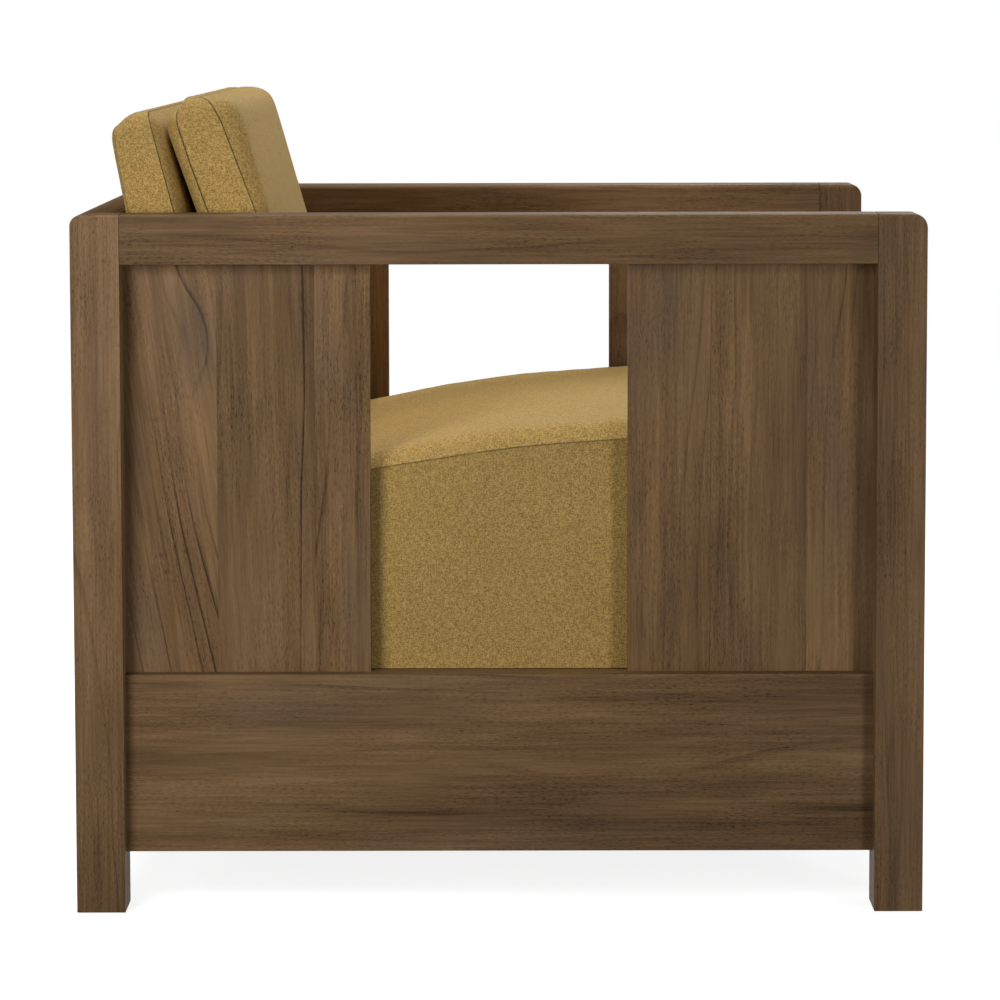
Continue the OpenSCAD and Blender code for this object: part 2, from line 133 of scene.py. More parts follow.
WOOD_INPUTS = {
    "Point": "NodeSocketVector",
    "Pith": "NodeSocketVector",
    "Knot": "NodeSocketVector",
    "Knot size": "NodeSocketFloat",
    "Seed": "NodeSocketFloat",
    "Ring": "NodeSocketFloat",
    "Lines": "NodeSocketFloat",
    "Grey": "NodeSocketFloat",
    "Tone": "NodeSocketFloat",
}
WOOD_OUTPUTS = {
    "Colour": "NodeSocketColor",
    "Roughness": "NodeSocketFloat",
    "Relief": "NodeSocketFloat",
}
LIGHT_WOOD = (0.270, 0.159, 0.073)
MID_WOOD = (0.166, 0.093, 0.0395)
DARK_WOOD = (0.042, 0.021, 0.0085)
GREY_WOOD = (0.116, 0.086, 0.064, 1)

# Slow waves in the rings: how many there are to a metre across and along the grain, and their size
BROAD_SWAY = (2.6, 1.5, 0.075)
FINE_SWAY = (17.0, 5.0, 0.006)

# Each noise of the figure: its scale across and along the grain, its detail and its roughness
FIGURE = {
    "fade": (13.0, 2.6, 1.0, 0.5),
    "cloud": (9.0, 2.4, 3.0, 0.55),
    "streak": (60.0, 2.2, 3.0, 0.6),
    "fibre": (420.0, 16.0, 3.0, 0.65),
    "fleck": (900.0, 170.0, 2.0, 0.7),
    "patch": (24.0, 7.0, 2.0, 0.5),
    "grey": (11.0, 3.4, 2.0, 0.6),
}
LATE_START = 0.72        # share of a growth ring where its dark late wood begins
LATE_PEAK = 0.96
EULER = 2.718
KNOT_LENGTH = 0.5        # along the grain a knot reaches as much further as this is below 1
KNOT_PUSH = 0.010        # how far the rings swing round a knot
KNOT_GREY = 0.8

# How much each part of the figure darkens the wood
CLOUD_DARK = 0.75
STREAK_DARK = 0.50
FIBRE_DARK = 0.48
LINE_DARK = 0.36
PORE_DARK = 0.26
# a negative darkness: painted highlights in flecks
GLINT_DARK = -0.12
KNOT_DARK = 0.12
WOOD_STOPS = ((0.26, LIGHT_WOOD), (0.52, MID_WOOD), (0.86, DARK_WOOD))
SMOOTH_WOOD = 0.46       # roughness of the wood, from its smoothest to its roughest clouds
ROUGH_WOOD = 0.58
PORE_ROUGH = 0.14
WOOD_RELIEF = 0.25 * MM
WOOD_SPECULAR = 0.12
NO_KNOT = Vector((0, 0, 9))


def wood_group():
    """A group that turns a point, with the grain along Z, into wood: growth rings, fibres and pores."""
    tree = bpy.data.node_groups.new("wood_figure", "ShaderNodeTree")
    for name, kind in WOOD_INPUTS.items():
        tree.interface.new_socket(name, in_out="INPUT", socket_type=kind)
    for name, kind in WOOD_OUTPUTS.items():
        tree.interface.new_socket(name, in_out="OUTPUT", socket_type=kind)
    given = tree.nodes.new("NodeGroupInput").outputs
    result = tree.nodes.new("NodeGroupOutput").inputs
    g = Graph(tree)

    moved = g.vector("ADD", given["Point"], g.scaled(given["Seed"], 1.0))

    def at(across, along):
        return g.vector("MULTIPLY", moved, (across, across, along))

    def figure(kind):
        across, along, detail, roughness = FIGURE[kind]
        return g.noise(at(across, along), detail=detail, roughness=roughness).outputs[0]

    def sway(across, along, amount):
        wobble = g.noise(at(across, along), detail=1.0).outputs["Color"]
        centred = g.vector("SUBTRACT", wobble, (0.5, 0.5, 0.5))
        return g.vector("MULTIPLY", centred, (amount, amount, 0.0))

    # Growth rings round the pith, swept aside by a knot
    across = g.vector("MULTIPLY", g.vector("SUBTRACT", given["Point"], given["Pith"]), (1, 1, 0))
    across = g.vector("ADD", across, sway(*BROAD_SWAY))
    across = g.vector("ADD", across, sway(*FINE_SWAY))
    from_knot = g.vector("SUBTRACT", given["Point"], given["Knot"])
    from_knot = g.vector("MULTIPLY", from_knot, (1, 1, KNOT_LENGTH))
    near = g.math("DIVIDE", g.length(from_knot), given["Knot size"])
    knot = g.math("POWER", EULER, g.math("MULTIPLY", g.math("MULTIPLY", near, near), -1.0))
    radius = g.math("ADD", g.length(across), g.math("MULTIPLY", knot, KNOT_PUSH))
    turns = g.math("DIVIDE", radius, given["Ring"])
    share = g.math("FRACT", turns)
    number = g.math("FLOOR", turns)
    rising = g.fit(share, LATE_START, LATE_PEAK)
    falling = g.fit(share, LATE_PEAK, 1.0, 1.0, 0.0)
    late = g.math("MULTIPLY", rising, falling)
    chance = g.add("TexWhiteNoise", {"W": g.math("ADD", number, given["Seed"])}, noise_dimensions="1D")
    strength = g.fit(chance.outputs["Value"], 0.25, 1.0, 0.12, 1.0)
    fade = g.fit(figure("fade"), 0.36, 0.62, 0.1, 1.0)
    line = g.math("MULTIPLY", g.math("MULTIPLY", late, strength), fade)
    line = g.math("MULTIPLY", line, given["Lines"])

    # Broad clouds, fibres, the open pores between them, and painted glints
    cloud = figure("cloud")
    streak = figure("streak")
    fibre = figure("fibre")
    fleck = figure("fleck")
    patch = g.fit(figure("patch"), 0.36, 0.64, 0.25, 1.0)
    pore = g.math("MULTIPLY", g.fit(fleck, 0.54, 0.70), patch)
    # glint: flecks painted lighter in the colour, as painted highlights on the fibres
    glint = g.math("MULTIPLY", g.fit(fleck, 0.46, 0.32), patch)

    # How dark the wood is, and from that its colour
    dark = g.math("MULTIPLY_ADD", cloud, CLOUD_DARK, (1 - CLOUD_DARK) / 2)
    for part, weight in ((streak, STREAK_DARK), (fibre, FIBRE_DARK)):
        dark = g.math("MULTIPLY_ADD", g.math("SUBTRACT", part, 0.5), weight, dark)
    weights = ((line, LINE_DARK), (pore, PORE_DARK), (glint, GLINT_DARK), (knot, KNOT_DARK))
    for part, weight in weights:
        dark = g.math("MULTIPLY_ADD", part, weight, dark)
    colour = g.ramp(dark, WOOD_STOPS)
    grey_cloud = g.fit(figure("grey"), 0.50, 0.72)
    weathered = g.math("MULTIPLY", grey_cloud, given["Grey"])
    weathered = g.math("MAXIMUM", weathered, g.math("MULTIPLY", knot, KNOT_GREY))
    colour = g.mix(weathered, colour, g.mix(0.5, colour, GREY_WOOD))
    tone = g.point(given["Tone"], given["Tone"], given["Tone"])
    g.put(result["Colour"], g.mix(1.0, colour, tone, "MULTIPLY"))
    rough = g.fit(cloud, 0.3, 0.7, SMOOTH_WOOD, ROUGH_WOOD)
    g.put(result["Roughness"], g.math("MULTIPLY_ADD", pore, PORE_ROUGH, rough))
    relief = g.math("MULTIPLY_ADD", fibre, 0.35, g.math("MULTIPLY", pore, -0.6))
    g.put(result["Relief"], g.math("MULTIPLY_ADD", line, -0.35, relief))
    return tree


WOOD = wood_group()

# Rotations that bring the grain of a piece to Z
GRAIN_TURN = {"x": (0, -90, 0), "y": (90, 0, 0), "z": (0, 0, 0)}


def wood(node, grain, seed, pith, ring=0.0075, lines=1.0, grey_share=0.5, tone=1.0, slant=0.0,
         knot=None, knot_size=0.02):
    """Wood for one CAD node. grain is the axis that the grain follows. pith says how far the tree's
    middle lies from the middle of the piece, and ring how wide a year's growth is. lines and
    grey_share say how strong the growth lines and the weathering are, and tone brightens it all.
    slant turns the grain within the face of an upright side board, in degrees."""
    low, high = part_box(node)
    turn = Matrix.Identity(3)
    for axis, angle in zip("XYZ", GRAIN_TURN[grain]):
        turn = Matrix.Rotation(math.radians(angle), 3, axis) @ turn
    turn = Matrix.Rotation(math.radians(slant), 3, "X") @ turn
    middle = turn @ ((low + high) / 2)
    material, g, shader = new_material("wood_" + node)
    place = g.add("TexCoord", {}).outputs["Object"]
    turned = []
    for row in turn:
        product = g.add("VectorMath", {0: place, 1: tuple(row)}, operation="DOT_PRODUCT")
        turned.append(product.outputs["Value"])
    point = g.point(*turned)
    figure = g.add("Group", {}, node_tree=WOOD)
    knot_at = turn @ Vector(knot) if knot else NO_KNOT
    values = {
        "Point": point,
        "Pith": (middle.x + pith[0], middle.y + pith[1], 0),
        "Knot": tuple(knot_at),
        "Knot size": knot_size,
        "Seed": seed,
        "Ring": ring,
        "Lines": lines,
        "Grey": grey_share,
        "Tone": tone,
    }
    for name, value in values.items():
        g.put(figure.inputs[name], value)
    g.put(shader.inputs["Base Color"], figure.outputs["Colour"])
    g.put(shader.inputs["Roughness"], figure.outputs["Roughness"])
    g.put(shader.inputs["Normal"], g.bump(figure.outputs["Relief"], WOOD_RELIEF, 0.5))
    shader.inputs["Specular IOR Level"].default_value = WOOD_SPECULAR
    dress(nodes[node], material)


def dress(piece, *materials):
    """Gives a CAD node or a new piece its materials."""
    if len(piece.material_slots) == 0:
        for material in materials:
            piece.data.materials.append(material)
        return
    for slot, material in zip(piece.material_slots, materials):
        slot.link = "OBJECT"
        slot.material = material


def ease_edges(node, width):
    """Welds a CAD node's corners and rounds its edges to a width of 0 or more, as sandpaper does."""
    piece = nodes[node]
    weld = piece.modifiers.new("weld", "WELD")
    weld.merge_threshold = 0.01 * MM
    flat = piece.modifiers.new("flat", "DECIMATE")
    flat.decimate_type = "DISSOLVE"
    flat.angle_limit = math.radians(0.2)
    if width:
        bevel = piece.modifiers.new("eased", "BEVEL")
        bevel.width = width
        bevel.segments = 2
        bevel.limit_method = "ANGLE"
        bevel.angle_limit = math.radians(40)
        bevel.miter_outer = "MITER_ARC"
    normals = piece.modifiers.new("normals", "WEIGHTED_NORMAL")
    normals.keep_sharp = False
    normals.weight = 60


# How each board of the sides looks: pith behind it and beside its middle, and its own figure
SIDE_BOARDS = {
    "rear_1": dict(seed=3.1, pith=(0.085, -0.075), ring=0.0078, tone=1.16, slant=9.0),
    "rear_2": dict(seed=8.4, pith=(0.120, 0.090), ring=0.0100, tone=0.92, slant=2.0),
    "rear_3": dict(seed=5.7, pith=(0.042, 0.004), ring=0.0062, tone=1.30),
    "front_1": dict(seed=12.3, pith=(0.160, 0.070), ring=0.0055, tone=1.10, lines=0.5),
    "front_2": dict(seed=15.9, pith=(0.130, -0.060), ring=0.0095, tone=1.02, lines=0.7),
    "front_3": dict(seed=21.2, pith=(0.110, 0.030), ring=0.0080, tone=1.04, lines=0.6),
}


KNOTS = {"rear_1": dict(knot=(-0.342, 0.300, 0.572), knot_size=0.026)}
LEFT_SEED = 40           # what the left boards' seeds are above the right ones'


def dress_side_boards():
    """The left boards have the right ones' look mirrored, with other seeds and no knot."""
    for place, look in SIDE_BOARDS.items():
        wood("side_board_right_" + place, "z", **look, **KNOTS.get(place, {}))
        across, along = look["pith"]
        mirrored = dict(look, seed=look["seed"] + LEFT_SEED, pith=(-across, along))
        wood("side_board_left_" + place, "z", **mirrored)


def dress_frame_wood():
    """The piths of the side pieces lie inside the chair, so that their outer faces show fine lines."""
    dress_side_boards()
    for k, side in enumerate(("right", "left")):
        inside = 1 if side == "right" else -1
        wood(f"leg_rear_{side}", "z", seed=31.0 + k, pith=(inside * 0.10, 0.05), ring=0.006,
             lines=0.6, tone=1.06)
        wood(f"leg_front_{side}", "z", seed=35.0 + k, pith=(inside * 0.09, -0.06), ring=0.007,
             lines=0.6)
        wood(f"arm_{side}", "y", seed=41.0 + k, pith=(inside * 0.10, 0.07), ring=0.007, lines=0.6)
        wood(f"side_rail_{side}", "y", seed=47.0 + k, pith=(inside * 0.080, 0.010), ring=0.0125,
             tone=1.02)
        for board in (1, 2, 3):
            wood(f"back_board_{side}_{board}", "z", seed=51.0 + 5 * k + board,
                 pith=(0.01 * board, 0.06 + 0.03 * board), ring=0.008)
    wood("back_top_rail", "x", seed=61.0, pith=(-0.08, 0.06), ring=0.007, lines=0.7)
    wood("back_lower_rail", "x", seed=63.0, pith=(0.02, -0.09), ring=0.012)
    wood("front_rail", "x", seed=67.0, pith=(-0.015, 0.085), ring=0.012)


def dress_deck_wood():
    """The parts under the cushion are plain, paler wood of the same kind."""
    plain = dict(tone=1.3, grey_share=0.2)
    slat = dict(tone=1.35, grey_share=0.2)
    for i in range(1, 8):
        wood(f"seat_slat_{i}", "x", seed=70.0 + i, pith=(0.05 + 0.01 * i, 0.02 * (i - 4)), **slat)
    wood("seat_bearer", "y", seed=81.0, pith=(0.08, 0.06), **plain)
    for k, side in enumerate(("right", "left")):
        wood(f"seat_cleat_{side}", "y", seed=83.0 + k, pith=(0.07, 0.05), **plain)
        for n, end in enumerate(("rear", "front")):
            block = f"corner_block_{end}_{side}"
            wood(block, "z", seed=87.0 + 2 * k + n, pith=(0.06, 0.04), **plain)


def ease_all_wood():
    """The boards are glued edge to edge, so only the last one of a panel has an edge to ease."""
    for node in nodes:
        if node.startswith(("leg_", "arm_")) or node.endswith("_rail"):
            ease_edges(node, 1.1 * MM)
        elif node.startswith("side_rail"):
            ease_edges(node, 1.2 * MM)
        elif node.startswith(("side_board", "back_board")):
            ease_edges(node, 0.5 * MM if node.endswith("_3") else 0)
        elif node.startswith(("seat_slat", "seat_bearer", "seat_cleat", "corner_block")):
            ease_edges(node, 0)


# ---- metal, nylon and zips ----


DULL_ZINC = (0.42, 0.42, 0.43)
BRIGHT_ZINC = (0.68, 0.68, 0.70)


def steel():
    """Zinc-plated steel with a fine spangle."""
    material, g, shader = new_material("zinc_steel")
    place = g.add("TexCoord", {}).outputs["Object"]
    spangle = g.noise(place, scale=900.0, detail=3.0).outputs[0]
    g.put(shader.inputs["Base Color"], g.ramp(spangle, ((0.3, DULL_ZINC), (0.7, BRIGHT_ZINC))))
    g.put(shader.inputs["Roughness"], g.fit(spangle, 0.3, 0.7, 0.28, 0.46))
    shader.inputs["Metallic"].default_value = 1.0
    return material


def moulded(name, dark, light):
    """A matt moulded plastic with a fine grain."""
    material, g, shader = new_material(name)
    place = g.add("TexCoord", {}).outputs["Object"]
    grain = g.noise(place, scale=1400.0, detail=2.0).outputs[0]
    g.put(shader.inputs["Base Color"], g.ramp(grain, ((0.35, dark), (0.65, light))))
    g.put(shader.inputs["Roughness"], g.fit(grain, 0.3, 0.7, 0.45, 0.62))
    g.put(shader.inputs["Normal"], g.bump(grain, 0.05 * MM, 0.4))
    return material


METAL_NODES = (
    "corner_studs", "corner_washers", "corner_nuts", "slat_screws", "cleat_screws", "glide_nails",
)
GLIDE_COLOURS = ((0.014, 0.013, 0.012), (0.026, 0.024, 0.022))


def dress_fittings():
    metal = steel()
    for node in METAL_NODES:
        dress(nodes[node], metal)
    dress(nodes["floor_glides"], moulded("glide_nylon", *GLIDE_COLOURS))


# ---- cloth ----

GOLD = (0.570, 0.372, 0.116)
OLIVE = (0.275, 0.170, 0.044)
# painted shade that darkens the cloth along the seam valleys
SEAM_SHADE_COLOUR = (0.070, 0.040, 0.010, 1)
SHEEN_TINT = (1.0, 0.82, 0.50, 1)
THREAD = 0.95 * MM
SLUB_ACROSS = 1000.0     # noise scales of the slubs, across and along a thread
SLUB_ALONG = 160.0

# How much each part of the weave lightens the cloth; the knuckle part is painted light and shade on
# each crossing
THREAD_LIGHT = 0.50
SLUB_LIGHT = 0.25
CROSSING_LIGHT = 0.27
BROAD_LIGHT = 0.06
KNUCKLE_SHADING = 0.16


def linen():
    """A plain linen-look weave in mustard, with slubs along both sets of threads."""
    material, g, shader = new_material("linen")
    cloth = g.add("UVMap", {}, uv_map="weave").outputs[0]
    u, v, _ = g.parts(g.scaled(cloth, 1 / THREAD))
    odd = g.math("MODULO", g.math("ADD", g.math("FLOOR", u), g.math("FLOOR", v)), 2.0)
    odd = g.math("ABSOLUTE", odd)
    round_u = g.math("SINE", g.math("MULTIPLY", g.math("FRACT", u), math.pi))
    round_v = g.math("SINE", g.math("MULTIPLY", g.math("FRACT", v), math.pi))
    knuckle = g.math("MULTIPLY", round_u, round_v)

    def slubs(along_u, along_v):
        stretched = g.vector("MULTIPLY", cloth, (along_u, along_v, 1.0))
        return g.noise(stretched, detail=3.0, roughness=0.62).outputs[0]

    # At every other crossing the warp lies on top, and at the rest the weft does
    warp = slubs(SLUB_ACROSS, SLUB_ALONG)
    weft = slubs(SLUB_ALONG, SLUB_ACROSS)
    warp_on_top = g.math("MULTIPLY", warp, odd)
    weft_on_top = g.math("MULTIPLY", weft, g.math("SUBTRACT", 1.0, odd))
    thread = g.math("MULTIPLY", g.math("ADD", warp_on_top, weft_on_top), THREAD_LIGHT)
    broad = g.noise(g.scaled(cloth, 14.0), detail=2.0).outputs[0]
    both = g.math("MULTIPLY_ADD", g.math("ADD", warp, weft), SLUB_LIGHT, thread)
    crossing = g.point(g.math("FLOOR", u), g.math("FLOOR", v))
    grain = g.add("TexWhiteNoise", {"Vector": crossing}, noise_dimensions="2D").outputs["Value"]
    both = g.math("MULTIPLY_ADD", g.math("SUBTRACT", grain, 0.5), CROSSING_LIGHT, both)
    shade = g.math("MULTIPLY_ADD", g.math("SUBTRACT", broad, 0.5), BROAD_LIGHT, both)
    # painted shading: each crossing is lighter on its crown and painted darker towards the gaps between
    # threads
    shade = g.math("MULTIPLY_ADD", g.math("SUBTRACT", knuckle, 0.4), KNUCKLE_SHADING, shade)
    colour = g.ramp(shade, ((0.41, OLIVE), (0.59, GOLD)))

    # Painted shade: the seam valleys are darkened in the colour, in short runs
    seam = g.add("Attribute", {}, attribute_name="seam").outputs["Fac"]
    shade_breaks = g.noise(g.scaled(cloth, 330.0), detail=1.0).outputs[0]
    seam = g.math("MULTIPLY", g.fit(seam, 0.50, 0.95), g.fit(shade_breaks, 0.25, 0.6, 0.55, 1.0))
    g.put(shader.inputs["Base Color"], g.mix(seam, colour, SEAM_SHADE_COLOUR))
    height = g.math("MULTIPLY_ADD", knuckle, 0.6, g.math("MULTIPLY", both, 0.9))
    g.put(shader.inputs["Normal"], g.bump(height, 0.30 * MM, 0.55))
    shader.inputs["Roughness"].default_value = 0.82
    shader.inputs["Specular IOR Level"].default_value = 0.2
    shader.inputs["Sheen Weight"].default_value = 0.12
    shader.inputs["Sheen Roughness"].default_value = 0.45
    shader.inputs["Sheen Tint"].default_value = SHEEN_TINT
    return material


FOAM_HOLLOW_SHADE = (0.52, 0.44, 0.28)
FOAM_LIGHT = (0.78, 0.72, 0.54)


def foam():
    """Yellowish foam with fine open cells, with painted shade in the hollow of each cell."""
    material, g, shader = new_material("foam")
    place = g.add("TexCoord", {}).outputs["Object"]
    cells = g.add("TexVoronoi", {"Vector": place, "Scale": 900.0}).outputs["Distance"]
    # painted shade: darker towards the middle of each cell, where its hollow is
    g.put(shader.inputs["Base Color"], g.ramp(cells, ((0.1, FOAM_HOLLOW_SHADE), (0.6, FOAM_LIGHT))))
    g.put(shader.inputs["Normal"], g.bump(cells, 0.4 * MM, 0.6))
    shader.inputs["Roughness"].default_value = 0.95
    return material


# ---- cushions ----

CELL = 12 * MM           # size of a cushion's mesh cells before they are subdivided
ROLL_ROWS = 5            # rows of cells over a cushion's rolled edge
ROLLS_TOGETHER = 50 * MM  # about the room that the two rolled edges of a panel take
EDGE_SHARPNESS = 5.0     # how tightly two rolled edges of a panel meet in its corner
LIP = 1.8 * MM           # distance from a seam to the row beside it
SEAM_DEPTH = 1.6 * MM
WEAVE_GAP = 3.0          # metres of weave between two pieces of cloth, so that none look alike


def panel_steps(length, roll_low, roll_high):
    """Places along a panel from 0 to length: close over the rolled edges, even between them."""

    def roll(width):
        turns = [math.pi / 2 * k / ROLL_ROWS for k in range(ROLL_ROWS + 1)]
        return [width * (1 - math.cos(turn)) for turn in turns]

    low = roll(roll_low)
    high = [length - place for place in roll(roll_high)][::-1]
    count = round((length - ROLLS_TOGETHER) / CELL)
    between = np.linspace(low[-1], high[0], count + 1)[1:-1]
    return np.array([*low, *between, *high])


def band_steps(width):
    """Shares of the way across a boxing band, with a row close to the seam on each side."""
    lip = LIP / width
    count = max(2, round((width - 2 * LIP) / CELL))
    return np.array([0, *np.linspace(lip, 1 - lip, count + 1), 1])


def rounded(x, y, half_x, half_y, radius):
    """Moves points of a rectangle so that its corners become round."""
    dx = np.abs(x) - (half_x - radius)
    dy = np.abs(y) - (half_y - radius)
    corner = (dx > 0) & (dy > 0)
    length = np.hypot(np.where(corner, dx, 1), np.where(corner, dy, 1))
    scale = np.where(corner, np.maximum(dx, dy) / length, 1)
    new_x = np.where(corner, np.sign(x) * (half_x - radius + dx * scale), x)
    new_y = np.where(corner, np.sign(y) * (half_y - radius + dy * scale), y)
    return new_x, new_y


def cloth_lengths(points):
    """How far each point of a grid lies from its middle, measured along the cloth both ways."""
    sizes = []
    for axis in (0, 1):
        steps = np.linalg.norm(np.diff(points, axis=axis), axis=2)
        run = np.cumsum(steps, axis=axis)
        start = np.zeros_like(np.take(run, [0], axis=axis))
        run = np.concatenate([start, run], axis=axis)
        run = np.broadcast_to(run.mean(axis=1 - axis, keepdims=True), run.shape)
        middle = np.take(run, [run.shape[axis] // 2], axis=axis)
        sizes.append(run - middle)
    return np.stack(sizes, axis=2)


class Cushion:
    """A boxed cushion: two panels joined by a band. u and v run across the panels, and w from the
    second panel to the first. shape gives its sizes, and the heights of its seams and faces."""

    def __init__(self, name, shape):
        self.name = name
        self.shape = shape
        self.vertices = []
        self.faces = []
        self.face_uvs = []
        self.seams = ()
        self.build()

    def add_vertices(self, points):
        start = len(self.vertices)
        self.vertices.extend(map(tuple, points.reshape(-1, 3)))
        return np.arange(start, len(self.vertices)).reshape(points.shape[:-1])

    def panel(self, which):
        """The grid of points of a panel: which is 1 for the first panel and -1 for the second."""
        s = self.shape
        rolls = s.rolls(which)
        u = panel_steps(2 * s.half_u, rolls["side"], rolls["side"]) - s.half_u
        v = panel_steps(2 * s.half_v, rolls["low"], rolls["high"]) - s.half_v
        grid_u, grid_v = np.meshgrid(u, v, indexing="ij")
        edge = [
            (s.half_u - np.abs(grid_u)) / rolls["side"],
            (grid_v + s.half_v) / rolls["low"],
            (s.half_v - grid_v) / rolls["high"],
        ]
        inward = sum(np.maximum(e, 1e-6) ** -EDGE_SHARPNESS for e in edge)
        near = np.clip(inward ** (-1 / EDGE_SHARPNESS), 0, 1)
        rise = near * (2 - near)
        if which == -1:
            rise = np.sqrt(rise)
        bow = (1 - (grid_u / s.half_u) ** 2) * (1 - (grid_v / s.half_v) ** 2)
        x, y = rounded(grid_u, grid_v, s.half_u, s.half_v, s.corner)
        low = s.seam(which, y)
        x, y = s.settle(which, x, y)
        w = low + (s.face(which, y, bow) - low) * rise
        return np.stack([x, y, w], axis=2)

    def build(self):
        s = self.shape
        first, second = self.panel(1), self.panel(-1)
        rim_a, rim_b = rim(first), rim(second)
        steps = band_steps(s.band_height)
        at_the_top = np.clip(rim_a[:, 1] / s.half_v * 8 - 7, 0, 1)
        swell = s.bulge + s.top_swell * at_the_top
        bulge = np.sin(np.pi * steps)[None, :, None] ** 0.7 * swell[:, None, None]
        band = rim_a[:, None] * (1 - steps[None, :, None]) + rim_b[:, None] * steps[None, :, None]
        out = outward(band[:, 0])
        band = band + out[:, None] * bulge
        first_ids = self.add_vertices(first)
        second_ids = self.add_vertices(second)
        inner_ids = self.add_vertices(band[:, 1:-1])
        rows = [rim(first_ids)[:, None], inner_ids, rim(second_ids)[:, None]]
        band_ids = np.concatenate(rows, axis=1)
        band_ids = np.concatenate([band_ids, band_ids[:1]])
        closed = np.concatenate([band, band[:1]])
        self.quads(first_ids, cloth_lengths(first), False)
        self.quads(second_ids, cloth_lengths(second) + WEAVE_GAP, True)
        self.quads(band_ids, cloth_lengths(closed) + 2 * WEAVE_GAP, False)
        self.seams = (band_ids[:-1, 0], band_ids[:-1, -1])

    def quads(self, ids, uv, flipped):
        """Adds the faces of a grid of vertex numbers, with each corner's place in the weave."""
        for i in range(ids.shape[0] - 1):
            for j in range(ids.shape[1] - 1):
                corners = [(i, j), (i + 1, j), (i + 1, j + 1), (i, j + 1)]
                if flipped:
                    corners.reverse()
                self.faces.append([int(ids[c]) for c in corners])
                self.face_uvs.append([tuple(uv[c]) for c in corners])

    def piece(self, to_world):
        """The finished cushion as an object, with its weave and with its seams marked."""
        mesh = bpy.data.meshes.new(self.name)
        mesh.from_pydata(self.vertices, [], self.faces)
        layer = mesh.uv_layers.new(name="weave")
        flat = np.array(self.face_uvs, np.float32).ravel()
        layer.uv.foreach_set("vector", flat)
        # the seam mark also sets how dark the painted seam shade is
        seam = mesh.attributes.new("seam", "FLOAT", "POINT")
        values = np.zeros(len(self.vertices), np.float32)
        values[list(self.seams[0])] = 1
        values[list(self.seams[1])] = self.shape.second_seam
        seam.data.foreach_set("value", values)
        mesh.transform(to_world)
        mesh.polygons.foreach_set("use_smooth", [True] * len(mesh.polygons))
        piece = bpy.data.objects.new(self.name, mesh)
        bpy.context.scene.collection.objects.link(piece)
        return piece


def rim(grid):
    """The border of a grid, once round."""
    return np.concatenate([grid[:-1, 0], grid[-1, :-1], grid[:0:-1, -1], grid[0, :0:-1]])


def outward(loop):
    """Unit directions out of a closed loop that runs anticlockwise, within its own u and v."""
    along = np.roll(loop, -1, axis=0) - np.roll(loop, 1, axis=0)
    out = np.stack([along[:, 1], -along[:, 0], np.zeros(len(loop))], axis=1)
    return out / np.linalg.norm(out, axis=1, keepdims=True)


def smooth_step(x):
    """0 up to 0, 1 from 1 on, and a smooth rise between them."""
    x = np.clip(x, 0, 1)
    return x * x * (3 - 2 * x)


BACK_WRAP = 8 * MM       # how far the rear seams move forwards over the top
WRAP_HEIGHT = 34 * MM    # how far below the top the seams begin to turn
TAPER_START = 60 * MM    # height above the middle where the rear begins to stand forward
BACK_SIDE_ROLL = 26 * MM
BACK_END_ROLL = 24 * MM
BACK_CROWN = 3 * MM      # how far a back cushion's faces swell in their middle
SIDE_PULL = 2 * MM       # how far its sides draw in
TOP_DROP = 4 * MM        # how far the top of its rear sinks


class BackShape:
    """A back cushion, upright: u across, v up its slope and w towards the sitter. back and front are
    the places of its faces, and fuller and taper say how far the upper part of its front and of its
    rear stand forward. inset makes it smaller all round."""

    bulge = 2.5 * MM
    top_swell = 3.0 * MM
    # mark of the second seam; below 1 it makes the painted seam shade there lighter
    second_seam = 0.8

    def __init__(self, height, back, front, seam_back, seam_front, corner, top_wrap, top_roll, fuller,
                 taper, inset=0.0):
        self.half_u = 0.3150 - inset
        self.half_v = height / 2 - inset
        self.faces = {1: front - inset, -1: back + inset}
        self.seams = {1: seam_front - inset, -1: seam_back + inset}
        self.corner = corner
        self.top_wrap = top_wrap
        self.fuller = fuller
        self.taper = taper
        self.top_roll = top_roll
        self.band_height = seam_front - seam_back

    def rolls(self, which):
        high = self.top_roll if which == 1 else BACK_END_ROLL
        return {"side": BACK_SIDE_ROLL, "low": BACK_END_ROLL, "high": high}

    def seam(self, which, v):
        """The seams lie in two planes, but near the top they draw together."""
        wrap = self.top_wrap if which == 1 else -BACK_WRAP
        turn = np.clip((v - self.half_v + WRAP_HEIGHT) / WRAP_HEIGHT, 0, 1)
        place = self.seams[which] - wrap * (1 - np.sqrt(1 - turn ** 2))
        return place if which == 1 else place + self.slant(which, v)

    def face(self, which, v, bow):
        return self.faces[which] + which * BACK_CROWN * (bow - 0.5) + self.slant(which, v)

    def slant(self, which, v):
        """How far the upper part of a panel stands forward of its plane."""
        if which == 1:
            return self.fuller * np.clip(v, 0, None)
        return self.taper * np.clip(v - TAPER_START, 0, None)

    def settle(self, which, x, y):
        """Draws the sides in a little between the corners, and the back's top edge down."""
        side = np.abs(x / self.half_u) ** 3
        x = x - np.sign(x) * SIDE_PULL * side * (1 - (y / self.half_v) ** 2)
        drop = TOP_DROP if which == -1 else 0.0
        return x, y - drop * smooth_step((y / self.half_v - 0.55) / 0.45)


SEAT_GAP = 3 * MM        # room between the CAD cushion's ends and this one's
SEAT_CROWN = 15 * MM
SEAT_SWELL = 2.5 * MM
SEAT_REAR_SINK = 4 * MM  # how much lower the crown is under the back cushions than in front of them
UNDER_THE_BACK = 0.205   # how much of the seat the back cushions stand on
FRONT_FALL = 0.07        # how steeply the top falls behind its first bend
REAR_FALL = 0.082        # how much steeper it is behind its second bend
FRONT_BEND = (0.074, 0.294)  # where the bends begin and end, behind the CAD cushion's front
REAR_BEND = (0.344, 0.424)


